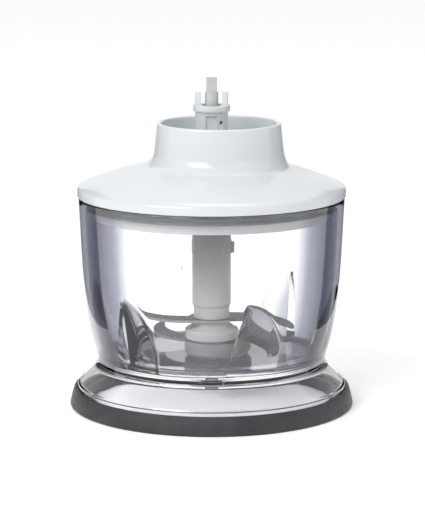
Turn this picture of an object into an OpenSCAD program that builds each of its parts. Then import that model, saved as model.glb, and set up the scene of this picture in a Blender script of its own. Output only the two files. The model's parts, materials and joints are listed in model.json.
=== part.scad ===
// Food chopper that a hand blender's motor part drives through a geared lid.
// A clear bowl stands on a rubber ring, a two-blade knife turns on a steel pin in
// its floor, and two stages of spur gears in the lid slow the motor four to one.
// Millimetres. +Z runs up the drive axis from the middle of the ring's underside.

/* [Bowl] */
// Outer radius of the bowl at its rim
bowl_rim_r = 59.4; // [50:0.1:75]
// Height of the rim above the table
bowl_rim_z = 94.7; // [78:0.1:120]
// Thickness of the bowl's wall
bowl_wall = 2.6; // [2:0.1:3.5]
// How much the wall leans in evenly from rim to floor
wall_draft = 3; // [1:0.1:5]
// How much more the wall curves in towards the floor
wall_belly = 5.35; // [3:0.05:8]
// Height of the floor's upper face
floor_z = 22.4; // [18:0.1:28]
// Thickness of the floor
floor_t = 3.4; // [2.5:0.1:4.5]
// Radius of the corner between floor and wall
corner_r = 5; // [2:0.5:8]

/* [Foot] */
// How far the foot flares out past the waist
foot_flare = 9.35; // [8:0.05:12]
// Radius of the concave bend under the waist
flare_r = 6.6; // [4:0.1:8]
// Thickness of the foot's wall
skirt_t = 2.4; // [2:0.1:3]
// Height of the foot's lower edge
foot_z = 3.2; // [2.5:0.1:4.5]
// Outer radius of the boss under the floor
boss_r = 6; // [5:0.1:8]
// Depth of the boss below the floor
boss_h = 7; // [4:0.5:8]

/* [Swirl ribs] */
// Number of ribs round the wall
rib_count = 6; // [4:1:8]
// How far a rib stands out of the wall at the floor
rib_depth = 5; // [3:0.1:6]
// Height of a rib above the floor
rib_h = 30; // [22:1:36]
// Width of a rib at its foot
rib_w = 19; // [14:0.5:22]
// Lean of a rib from upright, in degrees
rib_lean = 9; // [0:1:15]
// Bearing of the first rib from the front, in degrees
rib_turn = 20.5; // [0:0.5:59]

/* [Rubber ring] */
// Height of the ring
ring_h = 8.4; // [7:0.1:9]
// Width of the ring's outer lip at its foot
ring_lip = 3.6; // [2.5:0.1:5]
// Width of the ring inside the foot
ring_inner_w = 3.4; // [2.5:0.1:5]
// Radial room between the ring and the foot
ring_gap = 0.3; // [0.2:0.05:0.5]

/* [Knife] */
// Radius of the steel pin
pin_r = 3; // [2.5:0.1:4]
// Outer radius of the sleeve
sleeve_r = 8.7; // [8:0.1:11]
// Outer radius of the hub
hub_r = 12.2; // [11:0.1:15]
// Height of the hub's base
hub_h = 6.2; // [5:0.1:8]
// Height of the collar between the blades
spacer_h = 8.2; // [6:0.1:11]
// Wall of the knife's two bearings
bush_t = 1.4; // [1:0.1:1.6]
// Wall of the keyed tube that carries the blades
tube_wall = 1.3; // [1:0.1:1.5]
// Depth of each of the tube's two flats
flat_depth = 0.6; // [0.3:0.1:0.8]
// Thickness of the blades
blade_t = 1.2; // [1:0.1:2]
// Room between the blade tips and the ribs
blade_gap = 2.5; // [1.5:0.1:5]
// Widest part of a blade
blade_w = 15; // [11:0.5:18]
// How far a blade sweeps back, in degrees
blade_sweep = 42; // [25:1:60]
// Bearing of the upper blade, in degrees
upper_turn = 12; // [-90:1:90]
// Bearing of the lower blade, in degrees
lower_turn = -14; // [-90:1:90]
// Depth of the drive socket in the sleeve's top
socket_depth = 14; // [10:0.5:18]

/* [Lid] */
// How far the brim stands past the bowl's rim
brim_overhang = 0.6; // [0.3:0.1:2]
// Height of the brim's edge
brim_h = 4.15; // [3.5:0.05:6]
// Radius of the round on the brim's edge
brim_round = 1.8; // [1:0.1:2.2]
// Radius of the dome's crown
crown_r = 148.4; // [140:0.1:180]
// Thickness of the shell
shell_t = 2.4; // [2:0.1:3]
// Depth of the spigot wall below the brim
spigot_h = 8.9; // [7:0.1:12]
// Thickness of the lid base's walls
pan_t = 2; // [1.6:0.1:2.6]
// Thickness of the lid base's floor
pan_floor_t = 2.5; // [2:0.1:3.5]
// Radial room for the seal between spigot and bowl
seal_room = 3.8; // [3:0.1:5]

/* [Neck] */
// Distance of the neck's centre from the drive axis
neck_offset = 3.3; // [0:0.1:5]
// Outer radius of the neck at mid height
neck_r = 28.7; // [28:0.1:34]
// Height of the neck's rim above the brim's lower edge
neck_rim_h = 32.6; // [28:0.1:42]
// Depth of the recess inside the neck
recess_depth = 14; // [10:0.5:15]
// Thickness of the neck's wall
neck_wall = 2.7; // [2:0.1:3.5]

/* [Coupling] */
// Outer radius of the collar's tube
collar_r = 7.4; // [7:0.1:9]
// Radius of the collar's locating flange
collar_flange_r = 8.3; // [8:0.1:10]
// Height of the locating flange
collar_flange_h = 2.5; // [2:0.1:4]
// Radius of the drive spindle
spindle_r = 3; // [2.5:0.1:3.6]
// Width of the spindle's flat tip
tip_w = 4.8; // [4:0.1:5]
// Thickness of the spindle's flat tip
tip_t = 2.4; // [2:0.1:3]
// Height of the spindle's tip above the neck's rim
tip_h = 20; // [16:0.1:26]

/* [Gears] */
// Gear module
gear_m = 1; // [0.9:0.05:1.2]
// Teeth on both pinions
pinion_teeth = 12; // [12:2:14]
// Teeth on both wheels
wheel_teeth = 24; // [22:2:24]
// Width of the output pair's teeth
out_face = 5; // [4:0.1:6]
// Width of the input pair's teeth
in_face = 4.2; // [3.5:0.1:4.5]
// Backlash of a pair
backlash = 0.2; // [0.1:0.02:0.3]
// Radius of the layshaft's pin
layshaft_r = 2; // [1.6:0.1:2.4]

/* [Fits] */
// Radial room of a shaft that turns in a bearing
run_gap = 0.05; // [0.02:0.01:0.1]
// Room between the drive socket and the coupling in it
slip_gap = 0.25; // [0.15:0.05:0.4]
// Room between faces that pass each other
face_gap = 0.1; // [0.05:0.05:0.3]
// Gap between the bowl's rim and the lid
lid_gap = 0.2; // [0.1:0.05:0.5]

/* [Hidden] */
$fn = 72;
bite = 1; // how far a cut or an embedded end runs past a face

// Bowl and foot
rim_straight = 3.7;
belly_z = bowl_rim_z - rim_straight;
waist_r = bowl_rim_r - wall_draft - wall_belly;
floor_under = floor_z - floor_t;
foot_r = waist_r + foot_flare;
bend_end = [waist_r + flare_r * (1 - cos(45)), floor_z - flare_r * sin(45)];
knee_z = bend_end[1] - (foot_r - bend_end[0]);
foot_inner_r = foot_r - skirt_t;
knee_inner_z = knee_z - skirt_t * (sqrt(2) - 1);
foot_meets_floor_r = foot_inner_r - (floor_under - knee_inner_z);
function wall_fall(z) = max(0, (belly_z - z) / (belly_z - floor_z));
function wall_r(z) = bowl_rim_r - wall_draft * wall_fall(z) - wall_belly * pow(wall_fall(z), 4);
function inner_r(z) = wall_r(z) - bowl_wall;
function arc(c, r, a0, a1, n) =
    [for (i = [0:n]) let (a = a0 + (a1 - a0) * i / n) [c[0] + r * cos(a), c[1] + r * sin(a)]];

// Lid
lid_z = bowl_rim_z + lid_gap;
lid_r = bowl_rim_r + brim_overhang;
brim_wall = 2.5;
brim_inner_r = lid_r - brim_wall;
crown_z = lid_z + brim_h - sqrt(crown_r * crown_r - lid_r * lid_r);
function dome_z(r, inset) = crown_z + sqrt(pow(crown_r - inset, 2) - r * r);
pan_z = lid_z - spigot_h;
pan_top = pan_z + pan_floor_t;
spigot_r = inner_r(bowl_rim_z) - seal_room;
neck_rim_z = lid_z + neck_rim_h;
recess_z = neck_rim_z - recess_depth;
recess_t = 2;
flange_z = lid_z + 0.1;
flange_t = 1.8;
neck_inner_r = neck_r - neck_wall;
recess_under = recess_z - recess_t;

// Gears, from the lid base's floor up
pinion_r = gear_m * pinion_teeth / 2;
wheel_r = gear_m * wheel_teeth / 2;
addendum = 0.95 * gear_m;
dedendum = 1.2 * gear_m;
wheel_tip_r = wheel_r + addendum;
shaft_gap = pinion_r + wheel_r;
half_tooth = 180 / wheel_teeth;
pan_boss_h = 3;
boss_z = pan_top + pan_boss_h;
washer_t = 0.5;
layshaft_hub_wall = 1.6;
out_gear_z = boss_z + 2 * washer_t;
clip_t = 0.7;
clip_groove = 0.5;
clip_w = 1.8;
clip_room = 1.9;
in_gear_z = out_gear_z + out_face + clip_room;
plate_room = 0.8;
plate_z = in_gear_z + in_face + plate_room;
plate_t = 2;
plate_top = plate_z + plate_t;
post_r = 3.2;
post_room = 1.2;
post_ring_r = wheel_tip_r + post_r + post_room;
post_y = sqrt(post_ring_r * post_ring_r - shaft_gap * shaft_gap / 4);
posts = [[shaft_gap / 2, post_y], [shaft_gap / 2, -post_y], [-post_ring_r, 0]];
screw_r = 1.25;
screw_head_r = 2.6;
screw_head_h = 1.7;
screw_room = 0.3;
thread_len = 7;

// Spindle, collar and output
spindle_z = in_gear_z - 0.2;
tip_z = neck_rim_z + tip_h;
tip_len = 6.5;
spindle_clip_z = plate_top + 1.1;
lug_rise = 13.3;
flange_rise = 5.2;
collar_bush_t = 1.4;
collar_top = neck_rim_z + lug_rise;
collar_flange_z = neck_rim_z + flange_rise;
collar_bore_r = spindle_r + collar_bush_t;
collar_foot_w = 5;
collar_foot_r = collar_r + collar_foot_w;
collar_foot_t = 1.8;
collar_screw_ring = collar_r + screw_head_r;
collar_screw_turns = [90, 210, 330];
bush_wall = 2;
journal_r = spindle_r + 1;
journal_step = 0.5;
out_seat_r = journal_r - journal_step;
driver_step = 1.8;
driver_r = journal_r + driver_step;
bush_len = 5.9;

// Knife, from the floor up
hub_lift = 0.6;
hub_z = floor_z + hub_lift;
lower_z = hub_z + hub_h;
spacer_z = lower_z + blade_t;
upper_z = spacer_z + spacer_h;
sleeve_z = upper_z + blade_t;
sleeve_room = 2;
sleeve_top = pan_z - sleeve_room;
sleeve_waist_r = sleeve_r - 0.65;
socket_z = sleeve_top - socket_depth;
tube_bore_top = socket_z - 2;
pin_top = tube_bore_top - 6;
tube_top = pin_top + 1;
knife_bush_r = pin_r + bush_t;
tube_r = knife_bush_r + tube_wall;
knife_bush_len = 8;
blade_tip_r = inner_r(floor_z) - rib_depth - blade_gap;

module ring(r_out, r_in, h) {
    difference() {
        cylinder(r = r_out, h = h);
        translate([0, 0, -bite]) cylinder(r = r_in, h = h + 2 * bite);
    }
}

// ---- Base and bowl ----

module anti_slip_ring() {
    groove_out = foot_r + ring_gap;
    groove_in = foot_inner_r - ring_gap;
    inner = groove_in - ring_inner_w;
    outer = foot_r + ring_lip;
    inner_top = ring_h - 2.6;
    edge = 0.6;
    bead_r = 0.7;
    color("#2f3135") rotate_extrude() polygon(concat(
        [[inner, edge], [inner + edge, 0], [outer - edge, 0], [outer, edge], [outer - 0.1, 1.9],
            [outer - 1, 4.7], [outer - 1.9, ring_h - 1]],
        arc([groove_out + bead_r, ring_h - bead_r], bead_r, 45, 180, 4),
        [[groove_out, foot_z - ring_gap], [groove_in, foot_z - ring_gap], [groove_in, inner_top],
            [groove_in - bead_r, inner_top + bead_r], [inner, inner_top]]));
}

module bowl_body() {
    steps = 12;
    rise_z = floor_z + corner_r;
    outer_wall = [for (i = [0:steps]) let (z = belly_z + (floor_z - belly_z) * i / steps) [wall_r(z), z]];
    inner_wall = [for (i = [0:steps]) let (z = rise_z + (belly_z - rise_z) * i / steps) [inner_r(z), z]];
    rotate_extrude() polygon(concat(
        [[bowl_rim_r, bowl_rim_z]], outer_wall,
        arc([waist_r + flare_r, floor_z], flare_r, 187, 225, 4),
        [[foot_r, knee_z], [foot_r, foot_z], [foot_inner_r, foot_z], [foot_inner_r, knee_inner_z],
            [foot_meets_floor_r, floor_under], [boss_r, floor_under], [boss_r, floor_under - boss_h],
            [pin_r, floor_under - boss_h], [pin_r, floor_z]],
        arc([inner_r(rise_z) - corner_r, rise_z], corner_r, 270, 350, 4),
        inner_wall, [[inner_r(bowl_rim_z), bowl_rim_z]]));
}

// One petal-shaped rib: a band that grows out of the wall, cut to a leaning leaf
module swirl_rib() {
    steps = 6;
    function rib_z(i) = floor_z - bite + (rib_h + bite) * i / steps;
    function rib_out(z) = rib_depth * (1 - pow(max(0, z - floor_z) / rib_h, 2));
    leaf = concat(
        [[-rib_w / 2, -bite], [rib_w / 2, -bite], [rib_w / 2, rib_h * 0.25]],
        arc([-rib_w / 2, rib_h * 0.25], rib_w, 8, 52, 5),
        [[-rib_w / 2 + 2, rib_h], [-rib_w / 2, rib_h * 0.9]]);
    intersection() {
        rotate_extrude() polygon(concat(
            [for (i = [0:steps]) let (z = rib_z(i)) [inner_r(z) - rib_out(z), z]],
            [for (i = [steps:-1:0]) let (z = rib_z(i)) [inner_r(z) + bowl_wall / 2, z]]));
        translate([0, 0, floor_z]) rotate([90, 0, 0]) rotate(-rib_lean)
            linear_extrude(bowl_rim_r) polygon(leaf);
    }
}

module bowl() {
    color("#dfe6ea", 0.35) union() {
        bowl_body();
        for (i = [0:rib_count - 1]) rotate(rib_turn + i * 360 / rib_count) swirl_rib();
    }
}

module knife_pin() {
    pin_len = pin_top - floor_under + boss_h;
    chamfer = 1;
    color("#c9cdd2") translate([0, 0, floor_under - boss_h]) {
        cylinder(r = pin_r, h = pin_len - chamfer);
        translate([0, 0, pin_len - chamfer]) cylinder(r1 = pin_r, r2 = pin_r - chamfer, h = chamfer);
    }
}

module thrust_washer() {
    washer_w = 3.5;
    color("#e9e6dc") translate([0, 0, floor_z])
        ring(pin_r + washer_w, pin_r + run_gap, hub_lift - face_gap);
}

// ---- Knife ----

// Round tube with two flats, which the blades and the sleeve slide onto
module keyed_post(h) {
    intersection() {
        cylinder(r = tube_r, h = h);
        translate([-tube_r, flat_depth - tube_r, 0]) cube([2 * tube_r, 2 * (tube_r - flat_depth), h]);
    }
}

module keyed_hole(h) {
    translate([0, 0, -bite]) keyed_post(h + 2 * bite);
}

module knife_sleeve() {
    nub = [1.5, 3, 5];
    color("#eceae4") difference() {
        union() {
            rotate_extrude() polygon([[0, sleeve_z], [sleeve_waist_r, sleeve_z],
                [sleeve_waist_r, sleeve_z + 5.2], [sleeve_r, sleeve_z + 6.1], [sleeve_r, sleeve_top - 0.6],
                [sleeve_r - 0.6, sleeve_top], [0, sleeve_top]]);
            translate([sleeve_r - bite, -nub[1] / 2, socket_z - 1]) cube([nub[0] + bite, nub[1], nub[2]]);
        }
        translate([0, 0, sleeve_z]) keyed_hole(tube_bore_top - sleeve_z - bite);
        translate([0, 0, socket_z])
            cylinder(r = driver_r + slip_gap / cos(30), h = socket_depth + bite, $fn = 6);
    }
}

// One sickle wing: the leading edge bows out, the trailing edge follows it in
module blade_wing() {
    steps = 9;
    root = tube_r - 1;
    function reach(s) = root + (blade_tip_r - root) * s;
    function half_w(s) = blade_w / 2 * (1 - 0.82 * pow(s, 2.6));
    function swept(s, side) = let (a = -blade_sweep * pow(s, 1.4))
        [reach(s) * cos(a) - side * half_w(s) * sin(a), reach(s) * sin(a) + side * half_w(s) * cos(a)];
    polygon(concat([for (i = [0:steps]) swept(i / steps, -1)], [for (i = [steps:-1:0]) swept(i / steps, 1)]));
}

module blade(turn) {
    difference() {
        linear_extrude(blade_t) rotate(turn) {
            circle(r = hub_r - 2);
            for (a = [0, 180]) rotate(a) blade_wing();
        }
        keyed_hole(blade_t);
    }
}

module upper_blade() {
    color("#c3c7cc") translate([0, 0, upper_z]) blade(upper_turn);
}

module lower_blade() {
    color("#c3c7cc") translate([0, 0, lower_z]) blade(lower_turn);
}

module blade_spacer() {
    flange_r = hub_r - 0.2;
    color("#e3e1db") translate([0, 0, spacer_z]) difference() {
        rotate_extrude() polygon(concat([[0, 0], [flange_r, 0], [flange_r, spacer_h - 4]],
            arc([flange_r, spacer_h - 0.2], flange_r - sleeve_waist_r, 255, 180, 5),
            [[sleeve_waist_r, spacer_h], [0, spacer_h]]));
        keyed_hole(spacer_h);
    }
}

module knife_hub() {
    color("#dcdad5") difference() {
        translate([0, 0, hub_z]) union() {
            cylinder(r1 = hub_r - 1, r2 = hub_r, h = 1);
            translate([0, 0, 1]) cylinder(r = hub_r, h = hub_h - 1);
            keyed_post(tube_top - hub_z);
        }
        translate([0, 0, hub_z - bite]) cylinder(r = knife_bush_r, h = tube_top - hub_z + 2 * bite);
    }
}

module hub_bush() {
    color("#b08d57") translate([0, 0, hub_z]) ring(knife_bush_r, pin_r + run_gap, knife_bush_len);
}

module sleeve_bush() {
    color("#b08d57") translate([0, 0, pin_top - knife_bush_len - 1])
        ring(knife_bush_r, pin_r + run_gap, knife_bush_len);
}

// ---- Lid ----

module dome_solid(inset, edge_r, edge_round) {
    steps = 8;
    edge_z = dome_z(edge_r, inset);
    low = inset > 0 ? lid_z - bite : lid_z;
    rotate_extrude() polygon(concat([[0, low], [edge_r, low]],
        edge_round > 0
            ? arc([edge_r - edge_round, edge_z - edge_round], edge_round, 0, 68, 4)
            : [[edge_r, edge_z]],
        [for (i = [1:steps]) let (r = (edge_r - edge_round) * (1 - i / steps)) [r, dome_z(r, inset)]]));
}

module neck_solid() {
    fillet_r = 7.2;
    fillet_x = neck_r + fillet_r + 0.3;
    rim_round = 1.6;
    draft = 0.5;
    foot = dome_z(neck_r + 6, 0) - shell_t / 2;
    shoulder = dome_z(neck_r, 0);
    translate([neck_offset, 0, 0]) rotate_extrude() polygon(concat(
        [[0, foot], [fillet_x + draft, foot]],
        arc([fillet_x, shoulder + 6.3], fillet_r, 262, 190, 5),
        [[neck_r, shoulder + 9], [neck_r - draft, neck_rim_z - 2.3]],
        arc([neck_r - draft - rim_round, neck_rim_z - rim_round], rim_round, 0, 90, 4),
        [[0, neck_rim_z]]));
}

module lid_shell() {
    boss_len = 3;
    color("#f3f5f6") difference() {
        union() {
            difference() {
                union() {
                    dome_solid(0, lid_r, brim_round);
                    neck_solid();
                }
                dome_solid(shell_t, brim_inner_r, 0);
                translate([neck_offset, 0, lid_z + brim_h])
                    cylinder(r = neck_inner_r, h = recess_under - lid_z - brim_h);
                translate([neck_offset, 0, recess_z]) cylinder(r = neck_inner_r, h = recess_depth + bite);
            }
            for (a = collar_screw_turns) rotate(a) translate([collar_screw_ring, 0, recess_under - boss_len])
                cylinder(r = 2 * screw_r, h = boss_len + recess_t);
        }
        translate([0, 0, recess_under - bite]) cylinder(r = collar_r, h = recess_t + 2 * bite);
        for (a = collar_screw_turns) rotate(a)
            translate([collar_screw_ring, 0, recess_under - boss_len - bite])
                cylinder(r = screw_r, h = boss_len + recess_t + 2 * bite);
    }
}

module lid_base() {
    color("#e8ebec") difference() {
        union() {
            translate([0, 0, pan_z]) cylinder(r = spigot_r, h = flange_z - pan_z);
            translate([0, 0, flange_z]) cylinder(r = brim_inner_r - 0.2, h = flange_t);
        }
        difference() {
            translate([0, 0, pan_top])
                cylinder(r = spigot_r - pan_t, h = flange_z + flange_t - pan_top + bite);
            translate([0, 0, pan_top - bite]) {
                cylinder(r = journal_r + bush_wall + 2.5, h = boss_z - pan_top + bite);
                translate([shaft_gap, 0, 0]) cylinder(r = layshaft_r + 2, h = boss_z - pan_top + bite);
                for (p = posts) translate([p[0], p[1], 0]) cylinder(r = post_r, h = plate_z - pan_top + bite);
            }
        }
        translate([0, 0, pan_z - bite]) cylinder(r = journal_r + bush_wall, h = boss_z - pan_z + 2 * bite);
        translate([shaft_gap, 0, pan_z + 1]) cylinder(r = layshaft_r, h = boss_z - pan_z + bite);
        for (p = posts) translate([p[0], p[1], plate_z - thread_len - 2])
            cylinder(r = screw_r, h = thread_len + 2 + bite);
    }
}

module lid_seal() {
    seal_z = pan_z + 4;
    seal_h = 4.2;
    back_r = spigot_r + 1.5;
    lip_r = inner_r(bowl_rim_z) - 0.25;
    lip_t = 0.6;
    color("#cfd4d6") rotate_extrude() polygon([[spigot_r, seal_z], [back_r, seal_z],
        [lip_r, seal_z + lip_t], [lip_r, seal_z + 2 * lip_t], [back_r + 0.5, seal_z + seal_h / 2],
        [lip_r, seal_z + seal_h - 2 * lip_t], [lip_r, seal_z + seal_h - lip_t], [back_r, seal_z + seal_h],
        [spigot_r, seal_z + seal_h]]);
}

module coupling_collar() {
    lug_r = 4.6;
    lug_w = 5;
    window_w = 5.2;
    window_h = 8.5;
    window_depth = 1.2;
    hole_r = 0.9;
    hole_turn = 36;
    color("#f3f5f6") difference() {
        union() {
            translate([0, 0, recess_under])
                cylinder(r = collar_r, h = collar_flange_z + collar_flange_h - recess_under);
            translate([0, 0, recess_z]) cylinder(r = collar_foot_r, h = collar_foot_t);
            translate([0, 0, collar_flange_z]) cylinder(r = collar_flange_r, h = collar_flange_h);
            intersection() {
                cylinder(r = collar_r, h = collar_top);
                for (side = [0, 180]) rotate(side)
                    translate([lug_r, -lug_w / 2, collar_flange_z]) cube([collar_r, lug_w, lug_rise]);
            }
        }
        translate([0, 0, recess_under - bite])
            cylinder(r = collar_bore_r, h = collar_top - recess_under + 2 * bite);
        translate([-window_w / 2, -collar_r - bite, neck_rim_z - 5])
            cube([window_w, window_depth + bite, window_h]);
        rotate(hole_turn) translate([0, 0, neck_rim_z + 0.4]) rotate([90, 0, 0])
            cylinder(r = hole_r, h = collar_r + bite);
        for (a = collar_screw_turns) rotate(a) translate([collar_screw_ring, 0, recess_z - bite])
            cylinder(r = screw_r + screw_room, h = collar_foot_t + 2 * bite);
    }
}

// Pan-head screw with a cross recess, its head's underside at z = 0
module screw(len) {
    slot = [3, 0.7, 0.9];
    difference() {
        union() {
            translate([0, 0, -len]) cylinder(r = screw_r, h = len);
            cylinder(r1 = screw_head_r, r2 = screw_head_r - 0.5, h = screw_head_h);
        }
        for (a = [0, 90]) rotate(a) translate([-slot[0] / 2, -slot[1] / 2, screw_head_h - slot[2]])
            cube([slot[0], slot[1], slot[2] + bite]);
    }
}

module collar_screws() {
    color("#b9bdc2") for (a = collar_screw_turns) rotate(a)
        translate([collar_screw_ring, 0, recess_z + collar_foot_t]) screw(collar_foot_t + recess_t + 2);
}

module collar_bush() {
    color("#b08d57") translate([0, 0, collar_flange_z - 6])
        ring(collar_bore_r, spindle_r + run_gap, collar_flange_h + 5);
}

module gear_plate() {
    lobe_w = 4.5;
    color("#d9dcde") translate([0, 0, plate_z]) difference() {
        union() {
            cylinder(r = post_ring_r + post_r + 0.2, h = plate_t);
            translate([shaft_gap, 0, 0]) cylinder(r = layshaft_r + lobe_w, h = plate_t);
        }
        translate([0, 0, -bite]) cylinder(r = spindle_r + bush_wall, h = plate_t + 2 * bite);
        translate([shaft_gap, 0, -bite]) cylinder(r = layshaft_r, h = plate_t + 2 * bite);
        for (p = posts) translate([p[0], p[1], -bite])
            cylinder(r = screw_r + screw_room, h = plate_t + 2 * bite);
    }
}

module cover_screws() {
    color("#b9bdc2") for (p = posts) translate([p[0], p[1], plate_top]) screw(plate_t + thread_len);
}

module input_bush() {
    color("#b08d57") translate([0, 0, plate_z]) {
        ring(spindle_r + bush_wall, spindle_r + run_gap, plate_t);
        translate([0, 0, plate_t]) ring(spindle_r + bush_wall + 1, spindle_r + run_gap, 1);
    }
}

module output_bush() {
    color("#b08d57") translate([0, 0, pan_z]) ring(journal_r + bush_wall, journal_r + run_gap, bush_len);
}

module layshaft_pin() {
    color("#c9cdd2") translate([shaft_gap, 0, pan_z + 1])
        cylinder(r = layshaft_r, h = plate_top - pan_z - 1);
}

module layshaft_washers() {
    color("#b9bdc2") for (z = [boss_z, plate_z - washer_t])
        translate([shaft_gap, 0, z]) ring(layshaft_r + 2.2, layshaft_r + run_gap, washer_t);
}

// ---- Gear train ----

// Involute teeth, 25 degree pressure angle, the first tooth on +X
pressure = 25;
function involute(a) = tan(a) * 180 / PI - a;
function tooth_half(teeth, r) = let (rp = gear_m * teeth / 2, rb = rp * cos(pressure))
    (PI * gear_m - backlash) / 4 / rp * 180 / PI + involute(pressure) - involute(acos(min(1, rb / r)));
function gear_outline(teeth) = let (
        rp = gear_m * teeth / 2,
        base = rp * cos(pressure),
        root = rp - dedendum,
        tip = rp + addendum,
        low = max(base, root),
        steps = 5)
    [for (t = [0:teeth - 1]) each concat(
        [let (a = t * 360 / teeth - tooth_half(teeth, low)) root * [cos(a), sin(a)]],
        [for (side = [-1, 1], i = [0:steps]) let (
                k = side < 0 ? i : steps - i,
                r = low + (tip - low) * k / steps,
                a = t * 360 / teeth + side * tooth_half(teeth, r)) r * [cos(a), sin(a)]],
        [let (a = t * 360 / teeth + tooth_half(teeth, low)) root * [cos(a), sin(a)]])];

module spur(teeth, face, turn) {
    rotate(turn) linear_extrude(face) polygon(gear_outline(teeth));
}

module drive_spindle() {
    color("#d5d8db") {
        difference() {
            translate([0, 0, spindle_z]) cylinder(r = spindle_r, h = tip_z - tip_len - spindle_z);
            translate([0, 0, spindle_clip_z]) ring(spindle_r + bite, spindle_r - clip_groove, clip_t);
        }
        translate([-tip_w / 2, -tip_t / 2, tip_z - tip_len]) cube([tip_w, tip_t, tip_len]);
    }
}

module input_pinion() {
    color("#e6e2d3") translate([0, 0, in_gear_z]) difference() {
        spur(pinion_teeth, in_face, 0);
        translate([0, 0, -bite]) cylinder(r = spindle_r, h = in_face + 2 * bite);
    }
}

// Open retaining ring
module circlip(r_in, r_out) {
    difference() {
        ring(r_out, r_in, clip_t);
        translate([0, -r_in * 0.6, -bite]) cube([r_out + bite, 1.2 * r_in, clip_t + 2 * bite]);
    }
}

module spindle_circlip() {
    color("#8d9196") translate([0, 0, spindle_clip_z])
        circlip(spindle_r - clip_groove, spindle_r + clip_w);
}

module layshaft_wheel() {
    color("#e6e2d3") translate([shaft_gap, 0, in_gear_z]) difference() {
        spur(wheel_teeth, in_face, half_tooth);
        translate([0, 0, -bite]) cylinder(r = layshaft_r + layshaft_hub_wall, h = in_face + 2 * bite);
    }
}

module layshaft_pinion() {
    low = out_gear_z - 0.4;
    color("#e6e2d3") translate([shaft_gap, 0, low]) difference() {
        union() {
            spur(pinion_teeth, in_gear_z - low, 0);
            cylinder(r = layshaft_r + layshaft_hub_wall, h = in_gear_z + in_face - low);
        }
        translate([0, 0, -bite]) cylinder(r = layshaft_r + run_gap, h = in_gear_z + in_face - low + 2 * bite);
    }
}

module output_gear() {
    color("#e6e2d3") translate([0, 0, out_gear_z]) difference() {
        spur(wheel_teeth, out_face, half_tooth);
        translate([0, 0, -bite]) cylinder(r = out_seat_r, h = out_face + 2 * bite);
    }
}

module output_coupling() {
    driver_top = pan_z - 1.2;
    driver_z = socket_z + 1.5;
    shoulder_t = 1;
    shoulder_w = 0.8;
    color("#e9e6dc") difference() {
        union() {
            translate([0, 0, driver_z]) cylinder(r = driver_r, h = driver_top - driver_z, $fn = 6);
            translate([0, 0, driver_top]) cylinder(r = driver_r + shoulder_w, h = shoulder_t);
            translate([0, 0, driver_top]) cylinder(r = journal_r, h = out_gear_z - driver_top);
            translate([0, 0, out_gear_z]) cylinder(r = out_seat_r, h = out_face + clip_t + 0.4);
        }
        translate([0, 0, out_gear_z + out_face]) ring(out_seat_r + bite, out_seat_r - clip_groove, clip_t);
    }
}

module output_circlip() {
    color("#8d9196") translate([0, 0, out_gear_z + out_face])
        circlip(out_seat_r - clip_groove, out_seat_r + clip_w);
}

anti_slip_ring();
bowl();
knife_pin();
thrust_washer();
knife_sleeve();
upper_blade();
blade_spacer();
lower_blade();
knife_hub();
hub_bush();
sleeve_bush();
lid_shell();
lid_base();
lid_seal();
coupling_collar();
collar_screws();
collar_bush();
gear_plate();
cover_screws();
input_bush();
output_bush();
layshaft_pin();
layshaft_washers();
drive_spindle();
input_pinion();
spindle_circlip();
layshaft_wheel();
layshaft_pinion();
output_gear();
output_coupling();
output_circlip();
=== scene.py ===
import json
import math
import bpy
import bmesh
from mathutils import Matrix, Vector


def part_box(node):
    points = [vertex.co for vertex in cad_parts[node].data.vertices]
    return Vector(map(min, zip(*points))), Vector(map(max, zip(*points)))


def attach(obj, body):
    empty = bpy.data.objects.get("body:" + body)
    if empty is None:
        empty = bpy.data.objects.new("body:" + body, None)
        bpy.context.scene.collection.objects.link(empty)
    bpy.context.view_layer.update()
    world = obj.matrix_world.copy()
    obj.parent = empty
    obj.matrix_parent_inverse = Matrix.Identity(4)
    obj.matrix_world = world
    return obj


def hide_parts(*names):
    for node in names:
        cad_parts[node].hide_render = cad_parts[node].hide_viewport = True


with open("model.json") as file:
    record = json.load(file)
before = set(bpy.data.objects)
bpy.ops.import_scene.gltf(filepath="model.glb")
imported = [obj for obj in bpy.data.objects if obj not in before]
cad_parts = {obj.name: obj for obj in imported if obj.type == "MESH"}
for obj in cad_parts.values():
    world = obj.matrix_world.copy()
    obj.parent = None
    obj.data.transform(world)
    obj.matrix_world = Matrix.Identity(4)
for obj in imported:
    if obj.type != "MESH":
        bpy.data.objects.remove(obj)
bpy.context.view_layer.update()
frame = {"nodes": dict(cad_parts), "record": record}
mm = 0.001


# camera, light and floor
studio = {
    "cameraBack": 1058 * mm,  # distance in front of the drive axis
    "cameraHigh": 262.4 * mm,
    "cameraSide": 0.4 * mm,
    "pitch": 10.59,  # degrees below level
    "lens": 165.2,
    "floorHalf": 6.0,
    "floorTone": (0.985, 0.985, 0.985),
    "skyTone": (1.0, 1.0, 1.0),
    "skyStrength": 0.96,
    "cardTone": (0.02, 0.02, 0.028),
    "cardAside": 130 * mm,
    "cardNear": 10 * mm,
    "cardFar": 260 * mm,
    "cardTall": 240 * mm,
    "cardLift": 2 * mm,
    "softboxes": {  # place, aim, width and depth in metres, then watts
        "keySoftbox": ((-0.75, -0.9, 1.05), (0, 0, 0.07), (0.8, 0.8), 13),
        "fillSoftbox": ((0.9, -0.9, 0.7), (0, 0, 0.08), (0.5, 0.4), 0.8),
        "topSoftbox": ((0.1, 0.35, 1.2), (0, 0, 0.1), (0.6, 0.4), 1.5),
    },
}


def linkObject(name, mesh):
    made = bpy.data.objects.new(name, mesh)
    bpy.context.scene.collection.objects.link(made)
    return made


def meshObject(name, verts, faces):
    mesh = bpy.data.meshes.new(name)
    mesh.from_pydata(verts, [], faces)
    mesh.update()
    return linkObject(name, mesh)


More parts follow.
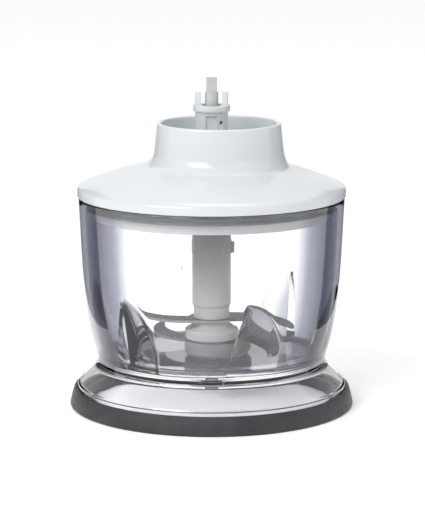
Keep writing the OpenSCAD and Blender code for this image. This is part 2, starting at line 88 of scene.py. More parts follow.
def aimedLamp(name, place, target, size, power):
    lamp = bpy.data.lights.new(name, "AREA")
    lamp.shape = "RECTANGLE"
    lamp.size, lamp.size_y = size
    lamp.energy = power
    made = linkObject(name, lamp)
    made.location = place
    made.rotation_euler = (Vector(target) - Vector(place)).to_track_quat("-Z", "Y").to_euler()


def makeCamera():
    lens = bpy.data.cameras.new("camera")
    lens.lens = studio["lens"]
    lens.sensor_width = 36
    lens.clip_start, lens.clip_end = 0.05, 50
    camera = linkObject("camera", lens)
    camera.location = (studio["cameraSide"], -studio["cameraBack"], studio["cameraHigh"])
    camera.rotation_euler = (math.radians(90 - studio["pitch"]), 0, 0)
    bpy.context.scene.camera = camera


def makeSky():
    world = bpy.data.worlds.new("studioSky")
    bpy.context.scene.world = world
    world.use_nodes = True
    back = world.node_tree.nodes["Background"]
    back.inputs["Color"].default_value = (*studio["skyTone"], 1)
    back.inputs["Strength"].default_value = studio["skyStrength"]
    bpy.context.scene.view_settings.view_transform = "Standard"


makeCamera()
makeSky()


# shader maths
class Field:
    # a socket that Python arithmetic can be used on
    def __init__(self, surface, socket):
        self.surface, self.socket = surface, socket

    def math(self, operation, *others):
        return self.surface.node("ShaderNodeMath", {"operation": operation}, dict(enumerate((self, *others))))

    def flipped(self, operation, other):
        return self.surface.node("ShaderNodeMath", {"operation": operation}, {0: other, 1: self})

    def __add__(self, other):
        return self.math("ADD", other)

    def __sub__(self, other):
        return self.math("SUBTRACT", other)

    def __rsub__(self, other):
        return self.flipped("SUBTRACT", other)

    def __mul__(self, other):
        return self.math("MULTIPLY", other)

    __radd__ = __add__
    __rmul__ = __mul__


class Surface:
    # one material and its nodes
    def __init__(self, name):
        self.material = bpy.data.materials.new(name)
        self.material.use_nodes = True
        self.tree = self.material.node_tree
        self.tree.nodes.clear()
        self.place = self.node("ShaderNodeTexCoord", {}, {}, "Object")

    def node(self, kind, settings=None, sockets=None, out=0):
        made = self.tree.nodes.new(kind)
        for key, value in (settings or {}).items():
            if key == "stops":
                ramp = made.color_ramp.elements
                while len(ramp) < len(value):
                    ramp.new(0.5)
                for stop, (at, tone) in zip(ramp, value):
                    stop.position = at
                    stop.color = (*tone, 1)
            else:
                setattr(made, key, value)
        for key, value in (sockets or {}).items():
            if isinstance(value, Field):
                self.tree.links.new(value.socket, made.inputs[key])
            elif isinstance(value, tuple) and len(value) == 3 and made.inputs[key].type == "RGBA":
                made.inputs[key].default_value = (*value, 1)
            else:
                made.inputs[key].default_value = value
        return Field(self, made.outputs[out])

    def noise(self, scale, detail=2.0, rough=0.5, place=None):
        sockets = {"Vector": place or self.place, "Scale": scale, "Detail": detail, "Roughness": rough}
        return self.node("ShaderNodeTexNoise", {}, sockets, "Fac")

    def stretched(self, scale):
        return self.node("ShaderNodeMapping", {}, {"Vector": self.place, "Scale": scale})

    def ramp(self, field, stops):
        return self.node("ShaderNodeValToRGB", {"stops": stops}, {"Fac": field})

    def blend(self, factor, first, second):
        return self.node("ShaderNodeMix", {"data_type": "RGBA"}, {0: factor, 6: first, 7: second}, 2)

    def span(self, field, low, high, toLow=0.0, toHigh=1.0):
        sockets = {"Value": field, "From Min": low, "From Max": high, "To Min": toLow, "To Max": toHigh}
        return self.node("ShaderNodeMapRange", {}, sockets)

    def height(self):
        return self.node("ShaderNodeSeparateXYZ", {}, {"Vector": self.place}, "Z")

    def bump(self, field, strength, depth):
        return self.node("ShaderNodeBump", {}, {"Height": field, "Strength": strength, "Distance": depth})

    def output(self, face):
        out = self.tree.nodes.new("ShaderNodeOutputMaterial")
        self.tree.links.new(face.socket, out.inputs["Surface"])
        return self.material

    def finish(self, sockets):
        return self.output(self.node("ShaderNodeBsdfPrincipled", {}, sockets))


# finishes
finish = {
    "white": (0.55, 0.57, 0.585),
    "whiteShade": (0.52, 0.545, 0.56),
    "pan": (0.74, 0.75, 0.76),
    "panShade": (0.703, 0.7125, 0.722),
    "rubber": (0.014, 0.015, 0.018),
    "rubberDust": (0.030, 0.031, 0.035),
    # painted shade for the clear bowl: base colours over view angle, darkest at a slant
    "clearPaintedShadeStops": ((0.0, (0.99, 0.99, 0.993)), (0.25, (0.97, 0.972, 0.982)), (0.36, (0.30, 0.31, 0.39)),
                   (0.55, (0.055, 0.06, 0.09)), (1.0, (0.22, 0.23, 0.28))),
    "clearFoot": (0.985, 0.985, 0.99),
    "clearShadow": (0.93, 0.935, 0.95),
    "clearIor": 1.56,
    "steel": (0.26, 0.265, 0.285),
    "steelDark": (0.11, 0.115, 0.125),
    "steelEdge": (0.30, 0.31, 0.34),
    "sleeveTop": (0.018, 0.017, 0.017),
    "sleeveLow": (0.44, 0.435, 0.43),
    "hub": (0.22, 0.22, 0.225),
    "acetal": (0.74, 0.71, 0.62),
    "bronze": (0.48, 0.30, 0.13),
    "bronzePore": (0.22, 0.13, 0.06),
    "zinc": (0.55, 0.56, 0.58),
    "zincDark": (0.36, 0.37, 0.38),
    "spring": (0.20, 0.21, 0.23),
    "springDark": (0.10, 0.10, 0.12),
    "bearing": (0.72, 0.71, 0.66),
    # the seal's near-black tone is partly the silicone's own colour and partly painted shade for the dark
    # band under the lid's brim
    "silicone": (0.15, 0.155, 0.165),
    "spindle": (0.42, 0.43, 0.425),
}


def mouldedWhite(name, tone, shade, gloss=0.16):
    s = Surface(name)
    cloud = s.noise(38, 3)
    peel = s.noise(1500, 2)
    return s.finish({
        "Base Color": s.blend(cloud, tone, shade),
        "Roughness": s.span(s.noise(140, 4), 0.3, 0.7, gloss, gloss + 0.08),
        "Normal": s.bump(peel * 0.5 + cloud * 0.5, 0.05, 0.0004),
        "Coat Weight": 0.25,
        "Coat Roughness": 0.12,
        "IOR": 1.5,
    })


def clearPlastic(name):
    # painted shade: the glass's base colour is darkened by view angle through Layer Weight facing, so the
    # wall darkens where it is seen edge-on and at a slant; below the foot the glass keeps a plain clear tint
    # without this painted shade; its shadow is that of a clear pane
    s = Surface(name)
    # painted shade: view-angle facing that darkens the glass's base colour, held off below the foot
    paintedShadeSlant = s.node("ShaderNodeLayerWeight", {}, {"Blend": 0.5}, "Facing")
    foot = s.span(s.height(), 0.017, 0.021)
    flow = s.noise(60, 2, place=s.stretched((1, 1, 0.25)))
    glass = s.node("ShaderNodeBsdfPrincipled", {}, {
        "Base Color": s.blend(foot, finish["clearFoot"], s.ramp(paintedShadeSlant, finish["clearPaintedShadeStops"])),
        "Roughness": s.span(s.noise(420, 5, 0.7), 0.35, 0.75, 0.0, 0.035),
        "Normal": s.bump(flow, 0.035, 0.0006),
        "Transmission Weight": 1.0,
        "IOR": finish["clearIor"],
    })
    pane = s.node("ShaderNodeBsdfTransparent", {}, {"Color": finish["clearShadow"]})
    shadow = s.node("ShaderNodeLightPath", {}, {}, "Is Shadow Ray")
    return s.output(s.node("ShaderNodeMixShader", {}, {0: shadow, 1: glass, 2: pane}))


def rubberSkin(name):
    s = Surface(name)
    grain = s.noise(2600, 2)
    dust = s.span(s.noise(55, 6, 0.65), 0.45, 0.75)
    return s.finish({
        "Base Color": s.blend(dust, finish["rubber"], finish["rubberDust"]),
        "Roughness": s.span(s.noise(300, 3), 0.3, 0.7, 0.42, 0.6),
        "Normal": s.bump(grain + dust * 0.3, 0.18, 0.0003),
        "Sheen Weight": 0.08,
    })


def groundSteel(name, tone, dark, gloss=0.2):
    s = Surface(name)
    radius = s.node("ShaderNodeVectorMath", {"operation": "LENGTH"}, {0: s.stretched((1, 1, 0))}, "Value")
    rings = s.node("ShaderNodeTexNoise", {"noise_dimensions": "1D"},
                   {"W": radius, "Scale": 2400, "Detail": 4})
    smear = s.noise(90, 3)
    return s.finish({
        "Base Color": s.blend(s.span(smear, 0.35, 0.75, 0.0, 0.45), tone, dark),
        "Metallic": 1.0,
        "Specular Tint": finish["steelEdge"],
        "Roughness": s.span(rings, 0.3, 0.7, gloss, gloss + 0.14),
        "Normal": s.bump(rings, 0.12, 0.00012),
    })


def sleevePlastic(name):
    s = Surface(name)
    climb = s.span(s.height(), 0.046, 0.083)
    mist = s.noise(120, 3)
    return s.finish({
        "Base Color": s.blend(climb + mist * 0.12 - 0.06, finish["sleeveLow"], finish["sleeveTop"]),
        "Roughness": s.span(mist, 0.3, 0.7, 0.32, 0.45),
        "Normal": s.bump(s.noise(900, 2), 0.06, 0.0003),
        "Subsurface Weight": 0.15,
        "Subsurface Radius": (0.003, 0.003, 0.003),
    })


def satinPlastic(name, tone, depth=0.82, gloss=0.36):
    s = Surface(name)
    mist = s.noise(150, 4)
    shade = tuple(depth * c for c in tone)
    return s.finish({
        "Base Color": s.blend(s.span(mist, 0.35, 0.75), tone, shade),
        "Roughness": s.span(s.noise(500, 3), 0.3, 0.7, gloss, gloss + 0.14),
        "Normal": s.bump(s.noise(1800, 2), 0.08, 0.0002),
    })


def sinteredBronze(name):
    s = Surface(name)
    pores = s.noise(2200, 3, 0.7)
    return s.finish({
        "Base Color": s.blend(s.span(pores, 0.55, 0.7), finish["bronze"], finish["bronzePore"]),
        "Metallic": s.span(pores, 0.5, 0.75, 1.0, 0.6),
        "Roughness": s.span(pores, 0.4, 0.7, 0.32, 0.55),
        "Normal": s.bump(pores, 0.15, 0.0001),
    })


def floorPaper(name):
    s = Surface(name)
    fibre = s.noise(35, 4)
    tone = studio["floorTone"]
    return s.finish({
        "Base Color": s.blend(fibre, tone, tuple(0.985 * c for c in tone)),
        "Roughness": 0.75,
        "Specular IOR Level": 0.15,
    })


looks = {
    "lid_white": mouldedWhite("lidWhite", finish["white"], finish["whiteShade"]),
    "collar_white": mouldedWhite("collarWhite", finish["white"], finish["whiteShade"], 0.2),
    "lid_base_white": mouldedWhite("lidBaseWhite", finish["pan"], finish["panShade"], 0.3),
    "clear_bowl": clearPlastic("clearBowl"),
    "ring_rubber": rubberSkin("ringRubber"),
    "blade_steel": groundSteel("bladeSteel", finish["steel"], finish["steelDark"]),
    "pin_steel": groundSteel("pinSteel", finish["steel"], finish["steelDark"], 0.15),
    "zinc_steel": groundSteel("zincSteel", finish["zinc"], finish["zincDark"], 0.26),
    "spring_steel": groundSteel("springSteel", finish["spring"], finish["springDark"], 0.3),
    "sleeve_plastic": sleevePlastic("sleevePlastic"),
    "hub_plastic": satinPlastic("hubPlastic", finish["hub"]),
    "bearing_plastic": satinPlastic("bearingPlastic", finish["bearing"]),
    "seal_silicone": satinPlastic("sealSiliconeWithBrimShade", finish["silicone"], 0.8, 0.3),
    "spindle_plastic": satinPlastic("spindlePlastic", finish["spindle"], 0.85, 0.3),
    "gear_acetal": satinPlastic("gearAcetal", finish["acetal"], 0.88),
    "bush_bronze": sinteredBronze("bushBronze"),
}
print("finishes made:", len(looks))


# floor and dark cards
def makeFloor():
    half = studio["floorHalf"]
    corners = [(-half, -half, 0), (half, -half, 0), (half, half, 0), (-half, half, 0)]
    floor = meshObject("studioFloor", corners, [(0, 1, 2, 3)])
    floor.data.materials.append(floorPaper("floorPaper"))


def makeCards():
    # black cards beside the object, which only reflections see
    black = Surface("blackCard")
    ink = black.finish({"Base Color": studio["cardTone"], "Roughness": 1.0, "Specular IOR Level": 0.0})
    near, far = studio["cardNear"], studio["cardFar"]
    low, tall = studio["cardLift"], studio["cardTall"]
    for name, side in (("leftCard", -1), ("rightCard", 1)):
        x = side * studio["cardAside"]
        corners = [(x, near, low), (x, far, low), (x, far, tall), (x, near, tall)]
        card = meshObject(name, corners, [(0, 1, 2, 3)])
        card.data.materials.append(ink)
        card.visible_camera = False
        card.visible_diffuse = False
        card.visible_shadow = False
        card.visible_transmission = False


makeFloor()
makeCards()
for name, facts in studio["softboxes"].items():
    aimedLamp(name, *facts)
print("studio ready")


# mesh helpers
def cornerArc(before, corner, after, radius):
    # the round that replaces one corner of a path
    toBefore, toAfter = Vector(before) - Vector(corner), Vector(after) - Vector(corner)
    a, b = toBefore.normalized(), toAfter.normalized()
    turn = math.pi - a.angle(b)
    if radius <= 0 or turn < 1e-4:
        return [tuple(corner)]
    back = min(radius * math.tan(turn / 2), 0.49 * toBefore.length, 0.49 * toAfter.length)
    reach = back / math.tan(turn / 2)
    centre = Vector(corner) + (a + b).normalized() * math.hypot(back, reach)
    start = Vector(corner) + a * back - centre
    end = Vector(corner) + b * back - centre
    sweep = start.angle_signed(end)
    steps = max(2, math.ceil(math.degrees(turn) / 9))
    out = []
    for i in range(steps + 1):
        c, k = math.cos(-sweep * i / steps), math.sin(-sweep * i / steps)
        out.append(tuple(centre + Vector((start.x * c - start.y * k, start.x * k + start.y * c))))
    return out


def rounded(corners):
    # corners are (r, z) or (r, z, radius); returns the closed path with its rounds
    flat = [Vector(c[:2]) for c in corners]
    path = []
    for i, c in enumerate(corners):
        radius = c[2] if len(c) > 2 else 0
        path += cornerArc(flat[i - 1], flat[i], flat[(i + 1) % len(flat)], radius)
    return path


def refined(path, step):
    # adds points so that no stretch of a closed path is longer than step
    out = []
    for i, a in enumerate(path):
        b = path[(i + 1) % len(path)]
        parts = max(1, math.ceil((Vector(b) - Vector(a)).length / step))
        out += [tuple(Vector(a).lerp(Vector(b), k / parts)) for k in range(parts)]
    return out


def ringLoft(name, rings):
    # closed mesh through rings of points; the last ring joins the first
    count = len(rings[0])
    verts = [p for ring in rings for p in ring]
    faces = []
    for i in range(len(rings)):
        j = (i + 1) % len(rings)
        for k in range(count):
            n = (k + 1) % count
            faces.append((i * count + k, i * count + n, j * count + n, j * count + k))
    made = meshObject(name, verts, faces)
    tidyMesh(made)
    return made


def tidyMesh(piece, sharpAngle=35, merge=1e-6):
    work = bmesh.new()
    work.from_mesh(piece.data)
    bmesh.ops.remove_doubles(work, verts=work.verts, dist=merge)
    bmesh.ops.recalc_face_normals(work, faces=work.faces)
    work.to_mesh(piece.data)
    work.free()
    for face in piece.data.polygons:
        face.use_smooth = True
    piece.data.set_sharp_from_angle(angle=math.radians(sharpAngle))


def revolved(name, path, segments, reach=None, lift=None, twist=None):
    # path is a closed list of (r, z); reach and lift may change them by bearing, twist turns a row
    rings = []
    for r, z in path:
        ring = []
        for k in range(segments):
            a = 2 * math.pi * k / segments
            rr = reach(r, z, a) if reach else r
            zz = lift(r, z, a) if lift else z
            a += twist(z) if twist else 0
            ring.append((rr * math.sin(a), -rr * math.cos(a), zz))
        rings.append(ring)
    return ringLoft(name, rings)


def dressed(piece, body, slotName, node):
    piece.data.materials.clear()
    piece.data.materials.append(looks[slotName])
    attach(piece, body)
    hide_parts(node)


def baked(piece):
    # applies the modifiers by swapping in the evaluated mesh
    view = bpy.context.evaluated_depsgraph_get()
    mesh = bpy.data.meshes.new_from_object(piece.evaluated_get(view))
    piece.modifiers.clear()
    piece.data = mesh
    return piece


def polishedCopy(node, name, edge, sharpAngle=30):
    # merged copy of a CAD piece, with its hard edges broken
    mesh = frame["nodes"][node].data.copy()
    mesh.name = name
    piece = linkObject(name, mesh)
    work = bmesh.new()
    work.from_mesh(mesh)
    bmesh.ops.remove_doubles(work, verts=work.verts, dist=2e-6)
    bmesh.ops.dissolve_limit(work, angle_limit=math.radians(0.5), verts=work.verts, edges=work.edges)
    bmesh.ops.recalc_face_normals(work, faces=work.faces)
    work.to_mesh(mesh)
    work.free()
    if edge > 0:
        cut = piece.modifiers.new("brokenEdges", "BEVEL")
        cut.width = edge
        cut.segments = 2
        cut.limit_method = "ANGLE"
        cut.angle_limit = math.radians(sharpAngle)
        cut.miter_outer = "MITER_ARC"
        baked(piece)
    tidyMesh(piece, sharpAngle, 1e-7)
    return piece


def smooth01(t):
    t = min(1.0, max(0.0, t))
    return t * t * (3 - 2 * t)


# bowl
bowl = {
    "wall": 2.6 * mm,
    "draft": 3.0 * mm,
    "belly": 5.35 * mm,
    "straight": 3.7 * mm,  # upright stretch under the rim
    "floorTop": 22.4 * mm,
    "floorThick": 3.4 * mm,
    "flare": 6.6 * mm,
    "footFlare": 9.35 * mm,
    "skirt": 2.4 * mm,
    "footLow": 3.2 * mm,
    "bossRadius": 6.0 * mm,
    "bossDeep": 7.0 * mm,
    "pinRadius": 3.0 * mm,
    "corner": 5.0 * mm,
    "ribs": 6,
    "ribDeep": 5.0 * mm,
    "ribTall": 33.0 * mm,
    "ribWide": 26.0,  # degrees
    "ribTurn": 20.5,
    "ribLean": 9.0,  # degrees over the rib's height
    "segments": 480,
}
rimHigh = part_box("bowl")[1].z
overhang = 0.6 * mm
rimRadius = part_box("lid_shell")[1].x - overhang
waistRadius = rimRadius - bowl["draft"] - bowl["belly"]
footRadius = waistRadius + bowl["footFlare"]


def wallRadius(z):
    top = rimHigh - bowl["straight"]
    fall = max(0.0, (top - z) / (top - bowl["floorTop"]))
    return rimRadius - bowl["draft"] * fall - bowl["belly"] * fall ** 4


def ribRise(z):
    return min(1.0, max(0.0, (z - bowl["floorTop"]) / bowl["ribTall"]))


def ribDepth(bearing, z):
    # how far a rib stands in from the wall, for a bearing measured from its upright edge
    rise = ribRise(z)
    pitch = 360 / bowl["ribs"]
    across = (math.degrees(bearing) + pitch / 2) % pitch - pitch / 2
    wide = bowl["ribWide"] * math.sqrt(max(0.0, 1 - rise ** 1.6))
    if rise >= 1 or across < -0.1 or across > wide:
        return 0.0
    hollow = (1 - across / wide) ** 0.8
    return bowl["ribDeep"] * (1 - rise ** 2.2) * hollow * smooth01((wide - across) / 3)


def makeBowl():
    floorTop, under = bowl["floorTop"], bowl["floorTop"] - bowl["floorThick"]
    bendOut = bowl["flare"] * (1 - math.sqrt(0.5))
    bendLow = floorTop - bowl["flare"] * math.sqrt(0.5)
    knee = bendLow - (footRadius - waistRadius - bendOut)
    inner = footRadius - bowl["skirt"]
    kneeIn = knee - bowl["skirt"] * (math.sqrt(2) - 1)
    meets = inner - (under - kneeIn)
    top = rimHigh - bowl["straight"]
    outer = [(rimRadius, rimHigh, 0.9 * mm)]
    low = floorTop + 1.2 * mm
    outer += [(wallRadius(z), z) for z in (top + (low - top) * i / 26 for i in range(27))]
    bend = [(waistRadius + bowl["flare"] * (1 - math.cos(a)), floorTop - bowl["flare"] * math.sin(a))
            for a in (math.radians(10 + 35 * i / 8) for i in range(9))]
    bossLow = under - bowl["bossDeep"]
    foot = [(footRadius, knee, 1.5 * mm), (footRadius, bowl["footLow"], 0.6 * mm),
            (inner, bowl["footLow"], 0.6 * mm), (inner, kneeIn, 1.2 * mm), (meets, under, 3 * mm),
            (bowl["bossRadius"], under, 1.2 * mm), (bowl["bossRadius"], bossLow, 0.6 * mm),
            (bowl["pinRadius"], bossLow), (bowl["pinRadius"], floorTop)]
    rise = floorTop + bowl["corner"]
    edge = wallRadius(rise) - bowl["wall"] - bowl["corner"]
    corner = [(edge + bowl["corner"] * math.sin(a), rise - bowl["corner"] * math.cos(a))
              for a in (math.radians(84 * i / 8) for i in range(9))]
    wall = [(wallRadius(z) - bowl["wall"], z) for z in (rise + (top - rise) * i / 56 for i in range(57))]
    path = rounded(outer + bend + foot + corner + wall + [(rimRadius - bowl["wall"], rimHigh, 0.9 * mm)])

    def lobed(r, z, a):
        if z < floorTop - 0.1 * mm or r > wallRadius(z) - 0.8 * bowl["wall"] or r < edge - 8 * mm:
            return r
        return r - smooth01((r - edge + 8 * mm) / (6 * mm)) * ribDepth(a, z)

    def leaning(z):
        return math.radians(bowl["ribTurn"] - bowl["ribWide"] / 2 + bowl["ribLean"] * ribRise(z))

    made = revolved("bowlShell", refined(path, 3.0 * mm), bowl["segments"], lobed, None, leaning)
    dressed(made, "bowl", "clear_bowl", "bowl")


makeBowl()
print("bowl made")


# rubber ring
ring = {
    "lip": 3.6 * mm,
    "gap": 0.3 * mm,
    "innerWide": 3.4 * mm,
    "high": 8.4 * mm,
    "segments": 288,
}


def makeRing():
    out = footRadius + ring["gap"]
    inn = footRadius - bowl["skirt"] - ring["gap"]
    edge = footRadius + ring["lip"]
    low = bowl["footLow"] - ring["gap"]
    path = [(inn - ring["innerWide"], 0, 0.6 * mm), (edge, 0, 0.9 * mm), (edge - 1.0 * mm, 4.7 * mm, 8 * mm),
            (edge - 2.2 * mm, ring["high"], 1.1 * mm), (out, ring["high"], 0.6 * mm), (out, low, 0.4 * mm),
            (inn, low, 0.4 * mm), (inn, ring["high"] - 2.4 * mm, 0.8 * mm),
            (inn - ring["innerWide"], ring["high"] - 2.6 * mm, 1.0 * mm)]
    made = revolved("rubberRing", refined(rounded(path), 2.0 * mm), ring["segments"])
    dressed(made, "base", "ring_rubber", "anti_slip_ring")


makeRing()
print("rubber ring made")


# lid
lid = {
    "crown": 148.4 * mm,
    "brimHigh": 4.15 * mm,
    "brimRound": 1.8 * mm,
    "brimWall": 2.5 * mm,
    "shell": 2.4 * mm,
    "neckOffset": 3.3 * mm,
    "shiftLow": 103 * mm,  # where the neck begins to move off the drive axis
    "shiftTall": 10 * mm,
    "shiftInner": 8 * mm,
    "shiftWide": 12 * mm,
    "neckRadius": 28.7 * mm,
    "neckFillet": 13.0 * mm,
    "neckWall": 2.7 * mm,
    "recess": 14.0 * mm,
    "recessFloor": 2.0 * mm,
    "collarRadius": 7.4 * mm,
    "segments": 240,
}


def makeLid():
    low, high = (corner.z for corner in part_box("lid_shell"))
    radius = rimRadius + overhang
    crown, shell = lid["crown"], lid["shell"]
    crownZ = low + lid["brimHigh"] - math.sqrt(crown ** 2 - radius ** 2)

    def dome(r, inset=0.0):
        return crownZ + math.sqrt((crown - inset) ** 2 - r * r)

    neck, wall = lid["neckRadius"], lid["neckWall"]
    recess = high - lid["recess"]
    under = recess - lid["recessFloor"]
    edge = radius - lid["brimWall"]
    outer = [(radius, low, 0.5 * mm), (radius, dome(radius) - 0.2 * mm, lid["brimRound"])]
    outer += [(r, dome(r)) for r in (radius - 2.2 * mm - (radius - 45 * mm) * i / 12 for i in range(13))]
    outer += [(neck + 0.9 * mm, dome(neck + 0.9 * mm) + 0.3 * mm, lid["neckFillet"]),
              (neck - 0.3 * mm, high - 7 * mm, 20 * mm), (neck - 1.0 * mm, high, 2.0 * mm),
              (neck - wall - 0.3 * mm, high, 0.9 * mm), (neck - wall - 0.6 * mm, recess, 1.5 * mm),
              (lid["collarRadius"], recess), (lid["collarRadius"], under),
              (neck - wall - 0.6 * mm, under, 1.0 * mm), (neck - wall, dome(neck - wall, shell), 2.0 * mm)]
    inside = [(r, dome(r, shell)) for r in (neck + (edge - neck) * i / 8 for i in range(9))]
    path = refined(rounded(outer + inside + [(edge, low, 0.4 * mm)]), 2.5 * mm)

    def shifted(r, z):
        high = smooth01((z - lid["shiftLow"]) / lid["shiftTall"])
        wide = smooth01((r - lid["shiftInner"]) / lid["shiftWide"])
        return lid["neckOffset"] * high * wide

    count = lid["segments"]
    rings = []
    for r, z in path:
        x0 = shifted(r, z)
        turns = [2 * math.pi * k / count for k in range(count)]
        rings.append([(x0 + r * math.sin(a), -r * math.cos(a), z) for a in turns])
    dressed(ringLoft("lidShell", rings), "lid", "lid_white", "lid_shell")


makeLid()
print("lid made")


# seal
seal = {
    "waves": 18,
    "waveHigh": 0.55 * mm,
    "lift": 4 * mm,
    "room": 3.8 * mm,
    "back": 1.5 * mm,
    "segments": 288,
}


def makeSeal():
    lowCorner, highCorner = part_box("lid_seal")
    low, high, edge = lowCorner.z, highCorner.z, highCorner.x
    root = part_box("lid_base")[0].z + seal["lift"]
    inner = rimRadius - bowl["wall"] - seal["room"]
    back = inner + seal["back"]
    tall = high - low
    path = [(inner, root, 0.3 * mm), (back, root, 0.5 * mm), (edge, root + 0.6 * mm, 0.3 * mm),
            (edge, root + 1.2 * mm, 0.3 * mm), (inner + 2 * mm, root + tall / 2, 0.4 * mm),
            (edge, root + 3.0 * mm, 0.3 * mm), (edge, root + 3.6 * mm, 0.3 * mm),
            (back, root + tall, 0.5 * mm), (inner, root + tall, 0.3 * mm)]

    def wavy(r, z, a):
        outward = smooth01((r - inner - 1 * mm) / (edge - inner - 1 * mm))
        upward = smooth01((z - root - 1.5 * mm) / mm)
        return z - seal["waveHigh"] * outward * upward * (0.5 + 0.5 * math.cos(seal["waves"] * a))

    made = revolved("lidSeal", refined(rounded(path), 1.2 * mm), seal["segments"], None, wavy)
    dressed(made, "lid", "seal_silicone", "lid_seal")


makeSeal()
print("seal made")


# knife
knife = {
    "bladeThick": 1.2 * mm,
    "bladeWide": 15 * mm,
    "sweep": 42.0,  # degrees
    "tipGap": 2.5 * mm,
    "grind": 0.30,  # share of the width that is ground to the edge
    "edgeThick": 0.12 * mm,
    "alongSteps": 36,
    "acrossSteps": 12,
    "upperTurn": 12.0,
    "lowerTurn": -14.0,
    "tubeHole": 5.75 * mm,
    "sleeveHole": 5.8 * mm,
    "sleeveRadius": 8.7 * mm,
    "sleeveWaist": 8.05 * mm,
    "socketRadius": 6.9 * mm,
    "socketDeep": 14 * mm,
    "nubLow": 15 * mm,  # below the sleeve's top
    "bladeRoot": 6.2 * mm,
    "hubWaist": 5.7 * mm,
    "hubHole": 4.4 * mm,
    "bladeEye": 10.2 * mm,
    "splines": 12,
    "segments": 128,
}


def bladeWing(turn, low, inner, reach):
    # one swept wing, ground along one side
    verts, faces = [], []
    along, across = knife["alongSteps"], knife["acrossSteps"]
    thick, sweep = knife["bladeThick"], math.radians(knife["sweep"])
    for i in range(along + 1):
        s = i / along
        out = inner + (reach - inner) * s
        half = knife["bladeWide"] / 2 * (1 - 0.82 * s ** 2.6)
        lean = turn - sweep * s ** 1.4
        shares = [-1 + 2 * j / across for j in range(across + 1)]
        leanCos, leanSin = math.cos(lean), math.sin(lean)
        flat = [(out * leanCos - v * half * leanSin, out * leanSin + v * half * leanCos) for v in shares]
        for v, (x, y) in zip(shares, flat):
            ground = min(1.0, (1 + v) / 2 / knife["grind"])
            verts.append((x, y, low + knife["edgeThick"] + (thick - knife["edgeThick"]) * ground))
        verts += [(x, y, low) for x, y in flat]
    row = 2 * (across + 1)
    for i in range(along):
        a, b = i * row, (i + 1) * row
        for j in range(across):
            faces.append((a + j, b + j, b + j + 1, a + j + 1))
            k = across + 1 + j
            faces.append((a + k + 1, b + k + 1, b + k, a + k))
        faces.append((a + across, b + across, b + 2 * across + 1, a + 2 * across + 1))
        faces.append((a + across + 1, b + across + 1, b, a))
    for end, order in ((0, 1), (along * row, -1)):
        loop = [end + j for j in range(across + 1)] + [end + 2 * across + 1 - j for j in range(across + 1)]
        faces.append(tuple(loop[::order]))
    return verts, faces


def makeBlade(name, node, turn):
    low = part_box(node)[0].z
    floorIn = wallRadius(bowl["floorTop"]) - bowl["wall"]
    reach = floorIn - bowl["ribDeep"] - knife["tipGap"]
    hole, eyeOut, skin = knife["tubeHole"], knife["bladeEye"], 0.02 * mm
    top = low + knife["bladeThick"] - skin
    verts, faces = [], []
    for side in (0, math.pi):
        more, their = bladeWing(math.radians(turn) + side, low, knife["bladeRoot"], reach)
        start = len(verts)
        verts += more
        faces += [tuple(start + i for i in f) for f in their]
    blade = meshObject(name, verts, faces)
    tidyMesh(blade, 20)
    eye = revolved(name + "Eye", [(hole, low + skin), (eyeOut, low + skin), (eyeOut, top), (hole, top)], 64)
    joined = joinPieces(name, [blade, eye])
    dressed(joined, "knife", "blade_steel", node)


def joinPieces(name, parts):
    work = bmesh.new()
    for part in parts:
        work.from_mesh(part.data)
        bpy.data.objects.remove(part)
    mesh = bpy.data.meshes.new(name)
    work.to_mesh(mesh)
    work.free()
    return linkObject(name, mesh)


def makeKnife():
    sleeveLow, sleeveHigh = (c.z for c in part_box("knife_sleeve"))
    outer, waist = knife["sleeveRadius"], knife["sleeveWaist"]
    bore, hole = knife["socketRadius"], knife["sleeveHole"]
    socketLow = sleeveHigh - knife["socketDeep"]
    sleeve = revolved("knifeSleeve", refined(rounded([
        (hole, sleeveLow), (waist, sleeveLow), (waist, sleeveLow + 5.0 * mm, 1 * mm),
        (outer, sleeveLow + 6.1 * mm, 1 * mm), (outer, sleeveHigh, 0.7 * mm), (bore, sleeveHigh, 0.4 * mm),
        (bore, socketLow, 0.3 * mm), (hole, socketLow)]), 2 * mm), knife["segments"])
    nubLow = sleeveHigh - knife["nubLow"]
    nub = roundedBlock("sleeveNub", (outer - 0.5 * mm, -1.5 * mm, nubLow),
                       (outer + 1.5 * mm, 1.5 * mm, nubLow + 5 * mm), 0.5 * mm)
    dressed(joinPieces("knifeSleeve", [sleeve, nub, sleeveSplines(outer, nubLow)]), "knife", "sleeve_plastic",
            "knife_sleeve")
    lowCorner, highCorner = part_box("blade_spacer")
    low, high, flange = lowCorner.z, highCorner.z, highCorner.x
    spacer = revolved("bladeSpacer", refined(rounded([
        (hole, low), (flange, low, 0.4 * mm), (flange, low + 4.1 * mm, 0.9 * mm),
        (flange - 1.6 * mm, low + 4.9 * mm, 1.5 * mm), (waist + 0.3 * mm, low + 6.4 * mm, 2.0 * mm),
        (waist, high), (hole, high)]), 1.5 * mm), knife["segments"])
    dressed(spacer, "knife", "sleeve_plastic", "blade_spacer")
    lowCorner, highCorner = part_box("knife_hub")
    low, top, hubRadius = lowCorner.z, highCorner.z, highCorner.x
    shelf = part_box("lower_blade")[0].z
    hubWaist, hubHole = knife["hubWaist"], knife["hubHole"]
    hub = revolved("knifeHub", refined(rounded([
        (hubHole, low), (hubRadius - 1.2 * mm, low, 0.3 * mm), (hubRadius, low + 1.3 * mm, 0.8 * mm),
        (hubRadius, shelf, 0.4 * mm), (hubWaist, shelf), (hubWaist, top, 0.3 * mm), (hubHole, top)]), 2 * mm),
        knife["segments"])
    dressed(hub, "knife", "hub_plastic", "knife_hub")
    makeBlade("upperBlade", "upper_blade", knife["upperTurn"])
    makeBlade("lowerBlade", "lower_blade", knife["lowerTurn"])


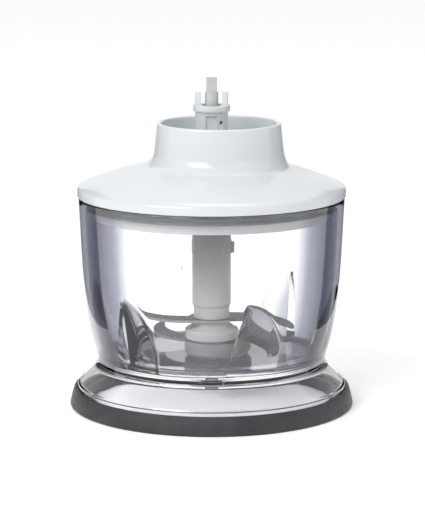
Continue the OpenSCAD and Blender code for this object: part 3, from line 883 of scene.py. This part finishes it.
def roundedBlock(name, low, high, radius):
    work = bmesh.new()
    bmesh.ops.create_cube(work, size=1)
    for v in work.verts:
        v.co = Vector(tuple(low[i] + (high[i] - low[i]) * (v.co[i] + 0.5) for i in range(3)))
    bmesh.ops.bevel(work, geom=work.edges[:], offset=radius, segments=3, affect="EDGES", profile=0.5)
    mesh = bpy.data.meshes.new(name)
    work.to_mesh(mesh)
    work.free()
    piece = linkObject(name, mesh)
    tidyMesh(piece)
    return piece


def sleeveSplines(radius, low):
    # upright ribs round the sleeve's drive socket, set out by geometry nodes
    seed = roundedBlock("splineRib", (radius - 0.35 * mm, -0.7 * mm, low - 0.5 * mm),
                        (radius + 0.22 * mm, 0.7 * mm, low + 6 * mm), 0.2 * mm)
    return repeatedRound(seed, "sleeveSplines", knife["splines"], "sleeve_plastic")


def repeatedRound(seed, name, count, slotName):
    tree = bpy.data.node_groups.new(name, "GeometryNodeTree")
    tree.interface.new_socket("Geometry", in_out="INPUT", socket_type="NodeSocketGeometry")
    tree.interface.new_socket("Copies", in_out="INPUT", socket_type="NodeSocketInt")
    tree.interface.new_socket("Finish", in_out="INPUT", socket_type="NodeSocketMaterial")
    tree.interface.new_socket("Geometry", in_out="OUTPUT", socket_type="NodeSocketGeometry")
    add = tree.nodes.new
    given, result = add("NodeGroupInput"), add("NodeGroupOutput")
    points, spread = add("GeometryNodePoints"), add("GeometryNodeInstanceOnPoints")
    turn = add("ShaderNodeMath")
    index, step, spin = add("GeometryNodeInputIndex"), add("ShaderNodeMath"), add("ShaderNodeCombineXYZ")
    solid, paint = add("GeometryNodeRealizeInstances"), add("GeometryNodeSetMaterial")
    turn.operation, step.operation = "DIVIDE", "MULTIPLY"
    turn.inputs[0].default_value = 2 * math.pi
    link = tree.links.new
    link(given.outputs["Copies"], points.inputs["Count"])
    link(given.outputs["Copies"], turn.inputs[1])
    link(turn.outputs[0], step.inputs[0])
    link(index.outputs[0], step.inputs[1])
    link(step.outputs[0], spin.inputs["Z"])
    link(points.outputs[0], spread.inputs["Points"])
    link(given.outputs["Geometry"], spread.inputs["Instance"])
    link(spin.outputs[0], spread.inputs["Rotation"])
    link(spread.outputs[0], solid.inputs[0])
    link(solid.outputs[0], paint.inputs["Geometry"])
    link(given.outputs["Finish"], paint.inputs["Material"])
    link(paint.outputs[0], result.inputs[0])
    modifier = seed.modifiers.new(name, "NODES")
    modifier.node_group = tree
    sockets = {item.name: item.identifier for item in tree.interface.items_tree if item.in_out == "INPUT"}
    modifier[sockets["Copies"]] = count
    modifier[sockets["Finish"]] = looks[slotName]
    seed.name = name
    return baked(seed)


makeKnife()
print("knife made")


# pieces kept from the design, with edges broken by so many millimetres
polish = {
    "lid_base": 0.35, "coupling_collar": 0.35, "gear_plate": 0.25, "drive_spindle": 0.3,
    "knife_pin": 0.3, "thrust_washer": 0.1, "hub_bush": 0.15, "sleeve_bush": 0.15, "collar_screws": 0.12,
    "collar_bush": 0.15, "cover_screws": 0.12, "input_bush": 0.15, "output_bush": 0.15, "layshaft_pin": 0.2,
    "layshaft_washers": 0.08, "input_pinion": 0.0, "spindle_circlip": 0.1, "layshaft_wheel": 0.0,
    "layshaft_pinion": 0.0, "output_gear": 0.0, "output_coupling": 0.3, "output_circlip": 0.1,
}
slotOf = {row["node"]: row["material_slot"] for row in frame["record"]["subparts"]}
bodyOf = {node: body for body, nodes in frame["record"]["behaviour"]["bodies"].items() for node in nodes}


def camelName(node):
    first, *rest = node.split("_")
    return first + "".join(word.capitalize() for word in rest)


for node, edge in polish.items():
    dressed(polishedCopy(node, camelName(node), edge * mm), bodyOf[node], slotOf[node], node)
print("design pieces polished:", len(polish))
